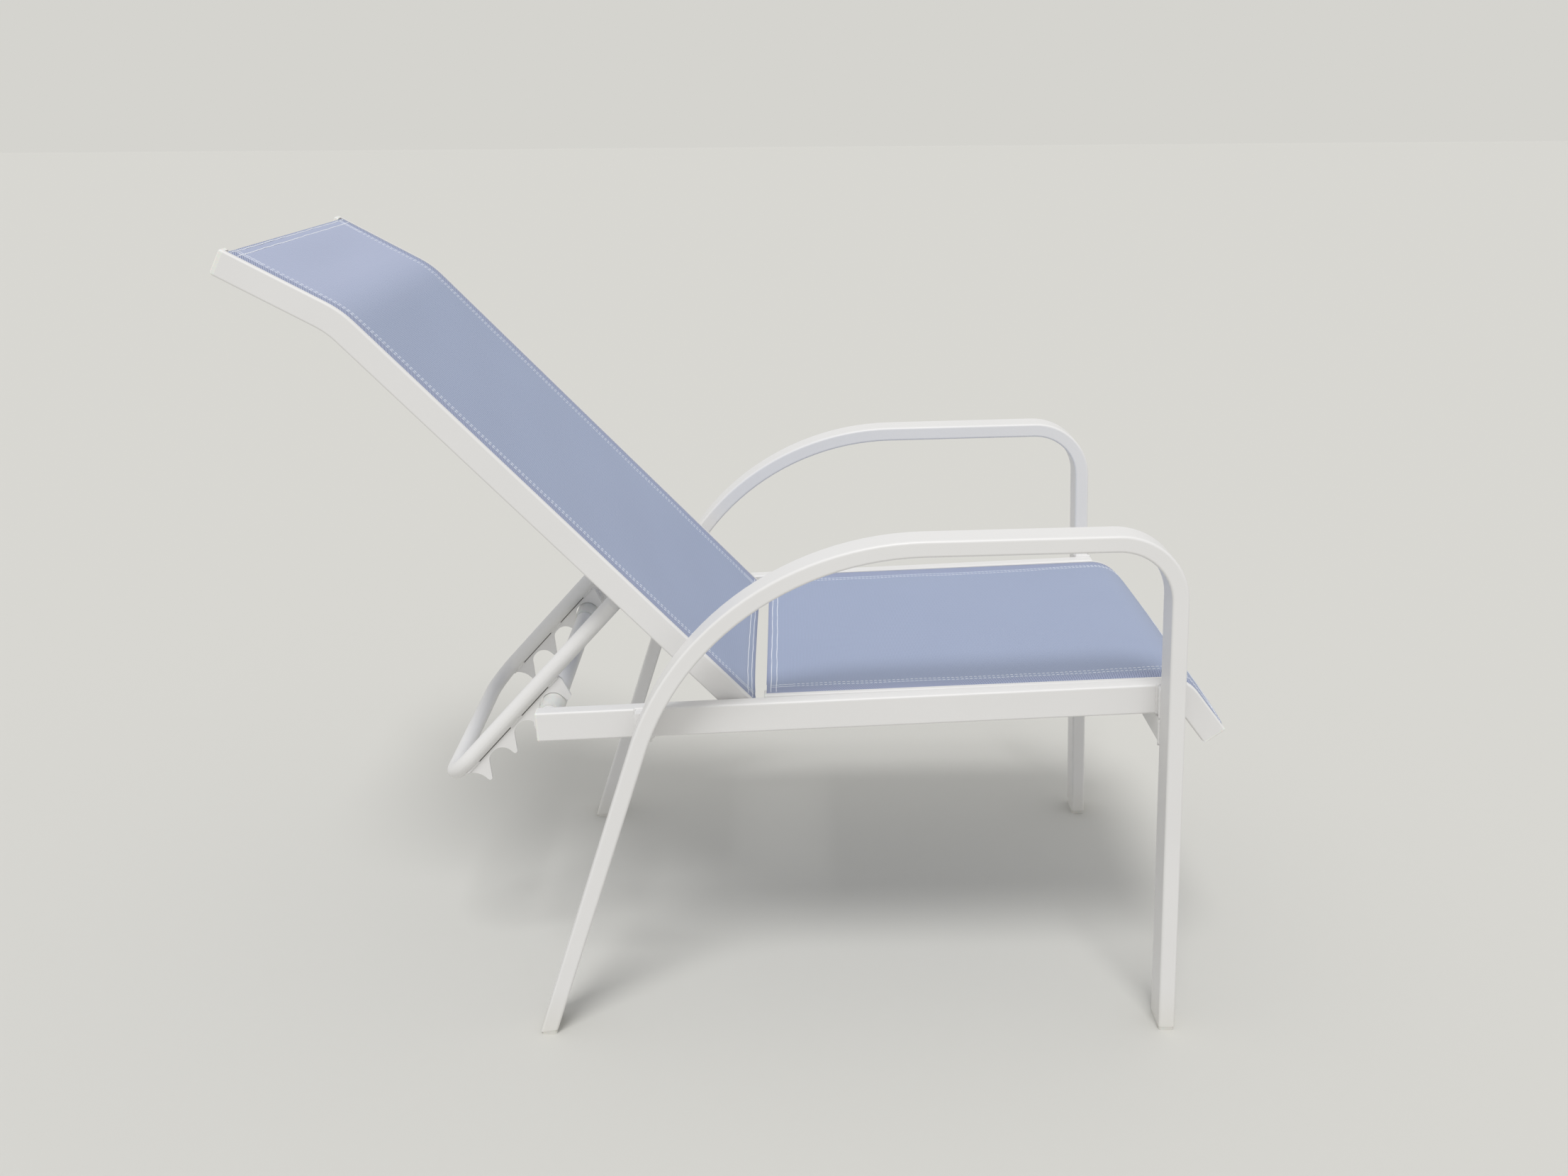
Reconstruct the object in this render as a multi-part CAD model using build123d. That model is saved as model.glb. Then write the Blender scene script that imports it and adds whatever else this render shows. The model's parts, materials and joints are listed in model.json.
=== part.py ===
from build123d import *
import os
from math import cos, radians, sin, tan

# Reclining garden armchair: two bent tube side frames, a sling seat and a sling back held by a ratchet bail.
# Lengths are millimetres and angles degrees. X runs across the chair, the sitter faces -Y and +Z is up.
# While the pieces are made, y counts rearward from the middle of the front feet and z up from the floor.
overrun = 30.0

# side frame: one flat tube bent into front leg, arm and rear leg
overall_width = 612.0
tube_wide = 42.0
tube_deep = 19.0
tube_corner = 3.0
tube_wall = 2.0
foot_spread = 747.0
arm_level = 615.4
arm_rise = 1.14
front_rake = 2.5
rear_slant = 18.05
front_bend = 70.5
rear_bend = 345.5

# plastic glides that close the tube ends; the rear ones are wedges
glide_rise = 5.0
rear_cut_tilt = 9.0
glide_inset = 0.5
glide_corner = 3.0
glide_plug = 14.0
plug_fit = 0.2

# side rails on short blocks inside the legs, and the tubes that tie the two sides together
rail_wide = 19.0
rail_tall = 36.0
rail_corner = 2.5
rail_wall = 2.0
rail_slope = 2.45
rail_level = 409.8
rail_length = 738.4
rail_cap_thick = 2.5
cap_plug = 8.0
cap_edge = 1.0
block_long = 14.4
stretcher_tall = 30.0
stretcher_level = 374.5
crossbar_radius = 12.5
crossbar_wall = 2.0
sleeve_radius = 14.5
sleeve_length = 72.0
sleeve_fit = 0.1

# sling rails: one grooved extrusion, bent once for the seat and once for the back
grooved_wide = 18.0
grooved_deep = 30.0
grooved_corner = 2.5
grooved_wall = 2.0
lip_wide = 6.0
slot_wide = 2.6
groove_radius = 3.5
groove_drop = 6.6
shoulder_drop = 2.4

# woven slings with a pocket along each side for the keder rod
sling_thick = 1.2
sling_set_in = 0.4
pocket_radius = 3.3
keder_radius = 2.2
keder_fit = 0.1

# seat, along the top edge of its rails
seat_rear = 482.3
seat_height = 409.8
seat_slope = 2.16
seat_length = 493.5
nose_angle = 52.5
nose_length = 83.7
nose_bend = 48.0
nose_corner = 7.0
front_cap_thick = 3.0
rear_cap_thick = 2.5
seat_hem = 2.8
seat_sag = 4.0

# back, along the top edge of its rails
back_gap = 4.6
pivot_along = 501.6
pivot_rise = 6.1
back_angle = 46.2
back_length = 629.4
head_angle = 28.3
head_length = 139.0
head_bend = 115.0
head_cap_thick = 5.0
head_cap_corner = 5.0
tail_cap_thick = 2.0
back_tail = 19.9
head_hem = 0.5
tail_hem = 8.3
back_sag = 4.0

# cross tubes hidden under the slings, as shares of the seat's length and of the back's
spreader_wide = 25.0
spreader_thick = 12.0
spreader_corner = 4.0
spreader_wall = 1.5
spreader_drop = 18.0
seat_spreader_shares = (0.153, 0.8175)
back_spreader_shares = (0.111, 0.9295)

# screws that hold the seat rails to the side rails, as shares of the seat's length
screw_radius = 3.0
screw_head_radius = 6.0
screw_head_tall = 3.5
head_edge = 1.0
screw_bite = 7.0
screw_fit = 0.1
screw_drop = 20.0
screw_shares = (0.266, 0.695)

# pivots: the back turns on two shoulder bolts, the bail on an axle between the back rails
pin_radius = 4.0
pin_head_radius = 8.0
pin_head_tall = 4.5
pin_bite = 8.0
running_fit = 0.05
face_gap = 0.3
bush_radius = 9.0
axle_bite = 6.0
collar_radius = 7.0
collar_long = 5.0

# bail: a round tube bent to a U, its ends pressed into flat eyes; lengths run down the arm from the axle
bail_radius = 10.0
bail_wall = 2.0
bail_inset = 40.0
bail_up = 185.5
bail_turn = 93.6
bail_bend = 45.0
bail_reach = 350.0
eye_thick = 10.0
eye_neck = 14.0
eye_taper = 22.0
eye_corner = 4.9

# notch plates under the arms; widths run out from the tube's middle, forward of the bail
plate_thick = 4.0
plate_start = 150.0
plate_end = 327.0
plate_shoulder = 16.0
first_notch = 181.7
notch_pitch = 49.0
notch_count = 3
notch_out = 29.5
notch_fit = 0.7
notch_slack = 2.8
flank_angle = 48.0
first_tooth_out = 40.2
tooth_out = 36.4
tooth_slope = 8.0
tooth_round = 2.4
scoop_top = 28.0
scoop_foot = 8.0
scoop_radius = 25.0
slit_shares = ((0.09, 0.407), (0.52, 0.86))
slit_top = 10.9

half_width = overall_width / 2
leg_inside = half_width - tube_wide
rail_outside = leg_inside - block_long
rail_inside = rail_outside - rail_wide
seat_rail_inside = rail_inside - grooved_wide
back_outside = rail_inside - back_gap
back_inside = back_outside - grooved_wide
bail_arm = back_inside - bail_inset
slot_centre = lip_wide + slot_wide / 2
screw_places = [share * seat_length for share in screw_shares]
seat_spreader_places = [share * seat_length for share in seat_spreader_shares]
back_spreader_places = [share * back_length for share in back_spreader_shares]


def side_point(y, z):
    """A point of the chair's middle plane."""
    return Vector(0, y, z)


def heading(angle):
    """Unit direction in the middle plane: 0 points forward, 90 straight up, 180 rearward."""
    return Vector(0, -cos(radians(angle)), sin(radians(angle)))


def crossing(point_a, angle_a, point_b, angle_b):
    """Where a line through one point meets a line through another."""
    way_a, way_b, step = heading(angle_a), heading(angle_b), point_b - point_a
    reach = (step.Y * way_b.Z - step.Z * way_b.Y) / (way_a.Y * way_b.Z - way_a.Z * way_b.Y)
    return point_a + way_a * reach


def bent(points, bends):
    """Straight runs through the points, each inner corner rounded to its bend radius."""
    runs = []
    start = points[0]
    for before, corner, after, bend in zip(points, points[1:], points[2:], bends):
        way_in = (corner - before).normalized()
        way_out = (after - corner).normalized()
        setback = bend * tan(radians(way_in.get_angle(way_out)) / 2)
        arc_start = corner - way_in * setback
        arc_end = corner + way_out * setback
        runs.append(Line(start, arc_start))
        runs.append(TangentArc(arc_start, arc_end, tangent=way_in))
        start = arc_end
    runs.append(Line(start, points[-1]))
    return Wire(runs)


def square_to(path, where):
    """Plane square to a path, x across the chair; on a path that runs forward its y is up."""
    return Plane(origin=path @ where, x_dir=(1, 0, 0), z_dir=path % where)


def facing_across(point, x=0):
    """Plane whose sketch y runs rearward and whose extrusions run along X."""
    return Plane(origin=(x, point.Y, point.Z), x_dir=(0, 1, 0), z_dir=(1, 0, 0))


def rod(radius, x_from, x_to, centre):
    """A round bar along X between two distances from the middle."""
    return extrude(facing_across(centre, x_from) * Circle(radius), x_to - x_from)


def hollow(wide, deep, corner, wall):
    """Section of a rectangular tube, rounded outside and square inside."""
    return RectangleRounded(wide, deep, corner) - Rectangle(wide - 2 * wall, deep - 2 * wall)


def mirrored(piece):
    return mirror(piece, about=Plane.YZ)


# corner points of the middle plane
front_foot = side_point(0, 0)
rear_foot = side_point(foot_spread, 0)
front_up = heading(90 + front_rake)
rear_up = heading(90 - rear_slant)
arm_front = crossing(front_foot, 90 + front_rake, side_point(0, arm_level), arm_rise)
arm_rear = crossing(rear_foot, 90 - rear_slant, side_point(0, arm_level), arm_rise)
rail_start = front_foot + front_up * (rail_level / front_up.Z) + heading(front_rake) * (tube_deep / 2)
rail_run = heading(rail_slope) * -1
pivot = rail_start + rail_run * pivot_along + heading(90 + rail_slope) * pivot_rise
back_up = heading(180 - back_angle)
back_face = heading(90 - back_angle)
axle = pivot + back_up * bail_up
bail_down = heading(180 - back_angle + bail_turn)
bail_out = heading(270 - back_angle + bail_turn)
crossbar = axle + bail_down * first_notch + bail_out * notch_out


def seat_edge(rear_trim=0, front_trim=0):
    """Top edge of the seat rails from the rear end to the nose."""
    rear = side_point(seat_rear, seat_height)
    corner = rear + heading(seat_slope) * seat_length
    front = corner + heading(-nose_angle) * (nose_length - front_trim)
    return bent((rear + heading(seat_slope) * rear_trim, corner, front), (nose_bend,))


def back_edge(head_trim=0, tail_trim=0):
    """Top edge of the back rails from the head down to the tail."""
    line = pivot + back_face * (grooved_deep / 2)
    corner = line + back_up * back_length
    head = corner + heading(180 - head_angle) * (head_length - head_trim)
    return bent((head, corner, line - back_up * (back_tail - tail_trim)), (head_bend,))


def cut_plane(foot, up, tilt):
    """Plane in which a leg's tube ends, as wide as the leg and level with the glide's top."""
    centre = foot + up * (glide_rise / up.Z)
    return Plane(origin=(leg_inside + tube_wide / 2, centre.Y, centre.Z), x_dir=(1, 0, 0), z_dir=heading(90 + tilt))


front_cut = cut_plane(front_foot, front_up, 0)
rear_cut = cut_plane(rear_foot, rear_up, rear_cut_tilt)


def side_frame():
    """Front leg, arm and rear leg in one bent tube, cut off above the floor."""
    below = overrun / 2
    corners = (front_foot - front_up * below, arm_front, arm_rear, rear_foot - rear_up * below)
    path = bent(corners, (front_bend, rear_bend))
    across = leg_inside + tube_wide / 2
    tube = sweep(square_to(path, 0) * Pos(across, 0) * hollow(tube_wide, tube_deep, tube_corner, tube_wall), path=path)
    floor_cutter = Box(tube_wide + overrun, tube_deep + overrun, overrun, align=(Align.CENTER, Align.CENTER, Align.MAX))
    return tube - front_cut * floor_cutter - rear_cut * floor_cutter


def glide(plane, up, lean):
    """Foot glide: flat below, shaped to the tube's end above, with a plug inside the tube."""
    wide = tube_wide - 2 * glide_inset
    deep = tube_deep - 2 * glide_inset
    stretch = 1 / cos(radians(lean))
    top = plane * RectangleRounded(wide, deep * stretch, glide_corner)
    bottom = Pos(plane.origin.X, plane.origin.Y, 0) * RectangleRounded(wide, deep, glide_corner)
    inner_wide = tube_wide - 2 * tube_wall - 2 * plug_fit
    inner_deep = (tube_deep - 2 * tube_wall - 2 * plug_fit) * stretch
    plug = extrude(plane * Rectangle(inner_wide, inner_deep), glide_plug, dir=up)
    return loft([bottom, top]) + plug


def along_rail(distance):
    """Plane square to the side rail, a distance behind its front end."""
    centre = rail_start + rail_run * distance
    return Plane(origin=(rail_outside - rail_wide / 2, centre.Y, centre.Z), x_dir=(1, 0, 0), z_dir=rail_run)


def side_rail():
    """Straight tube inside the legs, drilled for the back's pivot and the seat's screws."""
    tube = extrude(along_rail(0) * hollow(rail_wide, rail_tall, rail_corner, rail_wall), rail_length)
    tube -= rod(pin_radius + running_fit, rail_inside - overrun, rail_inside + pin_bite, pivot)
    for place in screw_places:
        tube -= rod(screw_radius + screw_fit, rail_inside - overrun, rail_inside + screw_bite, screw_point(place))
    return tube


def rail_cap():
    """Flat plastic cap on the open rear end of a side rail."""
    plate = extrude(RectangleRounded(rail_wide, rail_tall, rail_corner), rail_cap_thick)
    plate = chamfer(plate.edges().group_by(Axis.Z)[-1], cap_edge)
    inset = 2 * (rail_wall + plug_fit)
    plug = extrude(Rectangle(rail_wide - inset, rail_tall - inset), -cap_plug)
    return along_rail(rail_length) * (plate + plug)


def front_stretcher():
    """Flat tube between the front legs, leaning with them."""
    centre = front_foot + front_up * (stretcher_level / front_up.Z)
    tube = extrude(Plane.YZ * hollow(rail_wide, stretcher_tall, rail_corner, rail_wall), leg_inside, both=True)
    return Pos(0, centre.Y, centre.Z) * Rot(-front_rake, 0, 0) * tube


def rail_block(foot, leg_angle):
    """Short tube that holds a side rail off a leg."""
    centre = crossing(rail_start, rail_slope, foot, leg_angle)
    tube = extrude(Plane.YZ * hollow(tube_deep, rail_tall, rail_corner, rail_wall), block_long)
    return Pos(rail_outside, centre.Y, centre.Z) * Rot(-rail_slope, 0, 0) * tube


def rear_crossbar():
    """Round tube between the side rails on which the bail rests."""
    ring = Circle(crossbar_radius) - Circle(crossbar_radius - crossbar_wall)
    return extrude(facing_across(crossbar) * ring, rail_inside, both=True)


def crossbar_sleeve():
    """Plastic sleeve on the crossbar under one arm of the bail."""
    ring = Circle(sleeve_radius) - Circle(crossbar_radius + sleeve_fit)
    return extrude(facing_across(crossbar, bail_arm) * ring, sleeve_length / 2, both=True)


def grooved_outline():
    return Pos(0, -grooved_deep / 2) * RectangleRounded(grooved_wide, grooved_deep, grooved_corner)


def grooved_cavity(fit=0):
    """Closed chamber below the groove; the end caps' plugs are the same shape, a fit smaller."""
    top = groove_drop + groove_radius + grooved_wall + fit
    bottom = grooved_deep - grooved_wall - fit
    wide = grooved_wide - 2 * (grooved_wall + fit)
    return Pos(0, -(top + bottom) / 2) * Rectangle(wide, bottom - top)


def grooved_section():
    """Section of the sling rail: lip outside, slot and keder groove, lower shoulder inside."""
    slot_x = grooved_wide / 2 - slot_centre
    slot = Pos(slot_x, overrun) * Rectangle(slot_wide, overrun + groove_drop, align=(Align.CENTER, Align.MAX))
    groove = Pos(slot_x, -groove_drop) * Circle(groove_radius)
    shoulder = Pos(slot_x, -shoulder_drop) * Rectangle(overrun, overrun, align=(Align.MAX, Align.MIN))
    return grooved_outline() - slot - groove - shoulder - grooved_cavity()


def grooved_rail(path, inside):
    plane = square_to(path, 0) * Pos(inside + grooved_wide / 2, 0)
    return sweep(plane * grooved_section(), path=path)


def end_cap(path, where, thick, inside):
    """Plastic cap on one end of a sling rail, with a plug in its chamber."""
    way = 1 if where else -1
    plate = extrude(grooved_outline(), way * thick)
    plate = chamfer(plate.edges().group_by(Axis.Z)[-where], cap_edge)
    plug = extrude(grooved_cavity(plug_fit), -way * cap_plug)
    return square_to(path, where) * Pos(inside + grooved_wide / 2, 0) * (plate + plug)


def round_lower_corner(piece, path, where, beyond, radius):
    """Rounds the piece's lower corner at a path's end, where the cap stands a length beyond the rail."""
    way = 1 if where else -1
    block = Box(overall_width, 2 * radius, 2 * radius)
    corner = Rot(0, 90, 0) * Cylinder(radius, overall_width + overrun)
    centre = Pos(0, radius - grooved_deep, way * (beyond - radius))
    quarter = Pos(0, -radius, way * radius) * block
    return piece - square_to(path, where) * centre * (quarter - corner)


def sling_section(slot_x, sag):
    """Sling across the chair: a shallow hanging arc, a neck down each slot and a pocket round each keder rod."""
    edge = slot_x + sling_thick / 2
    level = -sling_set_in
    top = ThreePointArc((-edge, level), (0, level - sag), (edge, level))
    below = ThreePointArc((edge, level - sling_thick), (0, level - sag - sling_thick), (-edge, level - sling_thick))
    sheet = make_face(Wire([top, Line(top @ 1, below @ 0), below, Line(below @ 1, top @ 0)]))
    neck_long = groove_drop - sling_set_in - (pocket_radius + keder_radius) / 2
    neck = Pos(0, level) * Rectangle(sling_thick, neck_long, align=(Align.CENTER, Align.MAX))
    pocket = Pos(0, -groove_drop) * (Circle(pocket_radius) - Circle(keder_radius + keder_fit))
    for x in (-slot_x, slot_x):
        sheet += Pos(x, 0) * (neck + pocket)
    return sheet


def sling(path, slot_x, sag):
    return sweep(square_to(path, 0) * sling_section(slot_x, sag), path=path)


def keder(path, slot_x):
    return sweep(square_to(path, 0) * Pos(slot_x, -groove_drop) * Circle(keder_radius), path=path)


def spreader(centre, slope, inside):
    """Flat oval tube between two sling rails, lying with the sling."""
    section = hollow(spreader_wide, spreader_thick, spreader_corner, spreader_wall)
    tube = extrude(Plane.YZ * section, inside, both=True)
    return Pos(0, centre.Y, centre.Z) * Rot(slope, 0, 0) * tube


def screw_point(place):
    """Middle of a seat screw, a distance in front of the seat's rear end."""
    return side_point(seat_rear, seat_height) + heading(seat_slope) * place + heading(seat_slope - 90) * screw_drop


def headed(radius, head_radius, head_tall, head_x, tip_x, centre):
    """Bolt along X whose head bears on a face at head_x and points to the middle of the chair."""
    head = rod(head_radius, head_x - head_tall, head_x, centre)
    head = chamfer(head.edges().group_by(Axis.X)[0], head_edge)
    return head + rod(radius, head_x, tip_x, centre)


def seat_rail():
    path = seat_edge(rear_cap_thick, front_cap_thick)
    rail = grooved_rail(path, seat_rail_inside)
    for place in screw_places:
        rail -= rod(screw_radius + screw_fit, seat_rail_inside - overrun, rail_inside + overrun, screw_point(place))
    return round_lower_corner(rail, path, 1, front_cap_thick, nose_corner)


def back_rail():
    """Back rail with a bearing hole for the pivot bolt and a socket for the bail's axle."""
    path = back_edge(head_cap_thick, tail_cap_thick)
    rail = grooved_rail(path, back_inside)
    rail -= rod(pin_radius + running_fit, back_inside - overrun, back_outside + overrun, pivot)
    rail -= rod(pin_radius + running_fit, back_inside - overrun, back_inside + axle_bite, axle)
    return rail


def seat_front_cap():
    cap = end_cap(seat_path, 1, front_cap_thick, seat_rail_inside)
    return round_lower_corner(cap, seat_path, 1, front_cap_thick, nose_corner)


def back_head_cap():
    cap = end_cap(back_path, 0, head_cap_thick, back_inside)
    return round_lower_corner(cap, back_path, 0, head_cap_thick, head_cap_corner)


def bail_point(x, down, out=0):
    """A point of the bail from its distance down the arm and out from the arm's middle."""
    point = axle + bail_down * down + bail_out * out
    return Vector(x, point.Y, point.Z)


def arm_plane(down):
    """Plane square to the left arm of the bail."""
    return Plane(origin=bail_point(bail_arm, down), x_dir=(1, 0, 0), z_dir=bail_down)


def eye():
    """Flat drilled end of an arm, blending into the round tube."""
    flat = rod(bail_radius, bail_arm - eye_thick / 2, bail_arm + eye_thick / 2, axle)
    neck = extrude(arm_plane(0) * RectangleRounded(eye_thick, 2 * bail_radius, eye_corner), eye_neck)
    small = arm_plane(eye_neck) * RectangleRounded(eye_thick, 2 * bail_radius, eye_corner)
    taper = loft([small, arm_plane(eye_neck + eye_taper) * Circle(bail_radius)])
    return flat + neck + taper - rod(pin_radius + running_fit, 0, half_width, axle)


def along_bail(section):
    """Sweeps a section down the left arm, across and up the right one, between the eyes."""
    start = eye_neck + eye_taper
    corners = [bail_point(x, down) for x, down in ((bail_arm, start), (bail_arm, bail_reach))]
    corners += [bail_point(x, down) for x, down in ((-bail_arm, bail_reach), (-bail_arm, start))]
    return sweep(arm_plane(start) * section, path=bent(corners, (bail_bend, bail_bend)))


def bail_tube():
    """Both arms and the cross part in one bent tube."""
    return along_bail(Circle(bail_radius) - Circle(bail_radius - bail_wall)) + eye() + mirrored(eye())


def notch(centre):
    """Outline cut for one notch: upright wall towards the axle, round floor, sloping flank away from it."""
    radius = sleeve_radius + notch_fit
    turn = radians(flank_angle)
    foot = Vector(centre + notch_slack + radius * sin(turn), notch_out - radius * cos(turn))
    flank_end = foot + Vector(cos(turn), sin(turn)) * overrun
    wall = Vector(centre - radius, notch_out)
    floor = Vector(centre, notch_out - radius)
    slack = Vector(centre + notch_slack, notch_out - radius)
    runs = [
        Line((wall.X, flank_end.Y), wall),
        TangentArc(wall, floor, tangent=(0, -1)),
        Line(floor, slack),
        TangentArc(slack, foot, tangent=(1, 0)),
        Line(foot, flank_end),
        Line(flank_end, (wall.X, flank_end.Y)),
    ]
    return make_face(Wire(runs))


def notch_plate():
    """Saw-toothed plate welded along the front side of the left arm."""
    first_tip = first_notch - sleeve_radius - notch_fit
    last_tip = first_tip + notch_count * notch_pitch
    edge = Polyline(
        (plate_end, scoop_foot),
        (plate_end, 0),
        (plate_start, 0),
        (plate_start, plate_shoulder),
        (first_tip - tooth_slope, first_tooth_out - tooth_round),
        (first_tip, first_tooth_out),
        (first_notch, first_tooth_out),
        (first_notch, tooth_out),
        (last_tip, tooth_out),
        (last_tip, scoop_top),
    )
    scoop = RadiusArc((last_tip, scoop_top), (plate_end, scoop_foot), -scoop_radius)
    outline = make_face(Wire([*edge.edges(), scoop]))
    for count in range(notch_count):
        outline -= notch(first_notch + count * notch_pitch)
    tips = outline.vertices().filter_by(lambda corner: corner.Y > (notch_out + tooth_out) / 2)
    outline = fillet(tips, tooth_round)
    for start_share, end_share in slit_shares:
        slit_start = plate_start + start_share * (plate_end - plate_start)
        slit_long = (end_share - start_share) * (plate_end - plate_start)
        outline -= Pos(slit_start + slit_long / 2, 0) * Rectangle(slit_long, 2 * slit_top)
    origin = bail_point(bail_arm, 0)
    plane = Plane(origin=origin, x_dir=bail_down, z_dir=bail_down.cross(bail_out))
    plate = extrude(plane * outline, plate_thick / 2, both=True)
    return plate - along_bail(Circle(bail_radius))


seat_path = seat_edge(rear_cap_thick, front_cap_thick)
seat_sling_path = seat_edge(seat_hem, front_cap_thick)
back_path = back_edge(head_cap_thick, tail_cap_thick)
back_sling_path = back_edge(head_cap_thick + head_hem, tail_cap_thick + tail_hem)
seat_slot = rail_inside - slot_centre
back_slot = back_outside - slot_centre


def left_pieces():
    """Every piece that has a mirror twin, as it stands on the sitter's left."""
    bolt_head = back_inside - face_gap
    bush_bore = rod(pin_radius + running_fit, 0, half_width, pivot)
    spacer_end = bail_arm + eye_thick / 2 + face_gap
    collar_end = bail_arm - eye_thick / 2 - face_gap
    axle_bore = rod(pin_radius, 0, half_width, axle)
    pieces = {
        "side_frame": side_frame(),
        "front_glide": glide(front_cut, front_up, front_rake),
        "rear_glide": glide(rear_cut, rear_up, rear_slant - rear_cut_tilt),
        "side_rail": side_rail(),
        "side_rail_cap": rail_cap(),
        "front_rail_block": rail_block(front_foot, 90 + front_rake),
        "rear_rail_block": rail_block(rear_foot, 90 - rear_slant),
        "crossbar_sleeve": crossbar_sleeve(),
        "seat_rail": seat_rail(),
        "seat_rail_rear_cap": end_cap(seat_path, 0, rear_cap_thick, seat_rail_inside),
        "seat_rail_front_cap": seat_front_cap(),
        "seat_keder": keder(seat_sling_path, seat_slot),
        "pivot_bolt": headed(pin_radius, pin_head_radius, pin_head_tall, bolt_head, rail_inside + pin_bite, pivot),
        "pivot_spacer": rod(bush_radius, back_outside + face_gap, rail_inside, pivot) - bush_bore,
        "back_rail": back_rail(),
        "back_rail_head_cap": back_head_cap(),
        "back_rail_tail_cap": end_cap(back_path, 1, tail_cap_thick, back_inside),
        "back_keder": keder(back_sling_path, back_slot),
        "axle_spacer": rod(collar_radius, spacer_end, back_inside, axle) - axle_bore,
        "axle_collar": rod(collar_radius, collar_end - collar_long, collar_end, axle) - axle_bore,
        "notch_plate": notch_plate(),
    }
    for count, place in enumerate(screw_places, 1):
        tip = rail_inside + screw_bite
        screw = headed(screw_radius, screw_head_radius, screw_head_tall, seat_rail_inside, tip, screw_point(place))
        pieces[f"seat_screw_{count}"] = screw
    return pieces


def middle_pieces():
    """Every piece that reaches across the chair."""
    pieces = {
        "front_stretcher": front_stretcher(),
        "rear_crossbar": rear_crossbar(),
        "seat_sling": sling(seat_sling_path, seat_slot, seat_sag),
        "back_sling": sling(back_sling_path, back_slot, back_sag),
        "bail_axle": rod(pin_radius, -back_inside - axle_bite, back_inside + axle_bite, axle),
        "bail_tube": bail_tube(),
    }
    for count, place in enumerate(seat_spreader_places, 1):
        edge = side_point(seat_rear, seat_height) + heading(seat_slope) * place
        centre = edge + heading(seat_slope - 90) * spreader_drop
        pieces[f"seat_spreader_{count}"] = spreader(centre, -seat_slope, seat_rail_inside)
    for count, place in enumerate(back_spreader_places, 1):
        centre = pivot + back_face * (grooved_deep / 2 - spreader_drop) + back_up * place
        pieces[f"back_spreader_{count}"] = spreader(centre, back_angle, back_inside)
    return pieces


chair = middle_pieces()
for name, piece in left_pieces().items():
    chair[f"left_{name}"] = piece
    chair[f"right_{name}"] = mirrored(piece)

boxes = [piece.bounding_box() for piece in chair.values()]
front = min(box.min.Y for box in boxes)
rear = max(box.max.Y for box in boxes)
to_middle = Pos(0, -(front + rear) / 2, 0)
os.makedirs("parts", exist_ok=True)
for name, piece in chair.items():
    export_step(to_middle * piece, f"parts/{name}.step")
for name, point in {"pivot": pivot, "axle": axle, "crossbar": crossbar}.items():
    print(name, (to_middle * Pos(point)).position)
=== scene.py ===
import json
import math

import bpy
import numpy as np
from mathutils import Matrix, Vector


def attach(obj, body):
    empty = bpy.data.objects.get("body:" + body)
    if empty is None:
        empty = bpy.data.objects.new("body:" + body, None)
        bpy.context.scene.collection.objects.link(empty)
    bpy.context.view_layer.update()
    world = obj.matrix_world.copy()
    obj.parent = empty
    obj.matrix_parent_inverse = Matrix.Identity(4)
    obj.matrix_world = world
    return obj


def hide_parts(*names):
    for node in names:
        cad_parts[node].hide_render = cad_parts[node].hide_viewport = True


# Reclining garden armchair: powder-coated aluminium tube and two woven slings in grooved rails. Sizes are
# millimetres and degrees, and become metres only where a mesh is made. The chair faces -Y, +Z is up.
metresPerMillimetre = 0.001
millimetresPerMetre = 1000
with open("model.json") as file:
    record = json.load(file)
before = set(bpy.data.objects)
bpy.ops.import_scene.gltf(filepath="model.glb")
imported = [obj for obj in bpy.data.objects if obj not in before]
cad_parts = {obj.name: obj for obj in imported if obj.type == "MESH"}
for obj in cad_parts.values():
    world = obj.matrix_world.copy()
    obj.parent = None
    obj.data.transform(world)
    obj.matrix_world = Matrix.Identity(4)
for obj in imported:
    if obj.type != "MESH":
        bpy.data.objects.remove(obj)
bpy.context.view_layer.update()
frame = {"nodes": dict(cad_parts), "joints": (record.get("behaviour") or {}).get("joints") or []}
backJoint = next(joint for joint in frame["joints"] if joint["name"] == "back_recline")
pivot = np.array(backJoint["pos_m"]) * millimetresPerMetre
print("frame: loaded,", len(frame["nodes"]), "CAD pieces")


# Turns an sRGB hex colour to linear: each channel is divided by 12.92 when dark and otherwise raised to 2.4.
def linearColour(hexColour):
    channels = np.array([int(hexColour[start : start + 2], 16) for start in (1, 3, 5)]) / 255
    linear = np.where(channels <= 0.04045, channels / 12.92, ((channels + 0.055) / 1.055) ** 2.4)
    return (*linear.tolist(), 1.0)


# One node with its settings, the values of its open sockets and the outputs that feed the others.
def addNode(tree, kind, settings=None, values=None, links=None):
    node = tree.nodes.new(kind)
    for name, value in (settings or {}).items():
        setattr(node, name, value)
    for socket, value in (values or {}).items():
        node.inputs[socket].default_value = value
    for socket, source in (links or {}).items():
        tree.links.new(source, node.inputs[socket])
    return node


# A new material and its shader, with the constant values set on the shader's own sockets.
def newFinish(name, values):
    finish = bpy.data.materials.new(name)
    finish.use_nodes = True
    shader = finish.node_tree.nodes["Principled BSDF"]
    for socket, value in values.items():
        shader.inputs[socket].default_value = value
    return finish, finish.node_tree, shader


# Sockets of a colour mix node, which are shared by number: factor, the two colours and the result.
mixFactor, mixFirst, mixSecond, mixResult = 0, 6, 7, 2
# A wave texture of scale 1 repeats every 2 pi / 20 units, so a pitch needs this much over the pitch.
waveScale = 2 * math.pi / 20


# The place on a piece, in metres from the chair's origin.
def objectPlace(tree):
    return addNode(tree, "ShaderNodeTexCoord").outputs["Object"]


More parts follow.
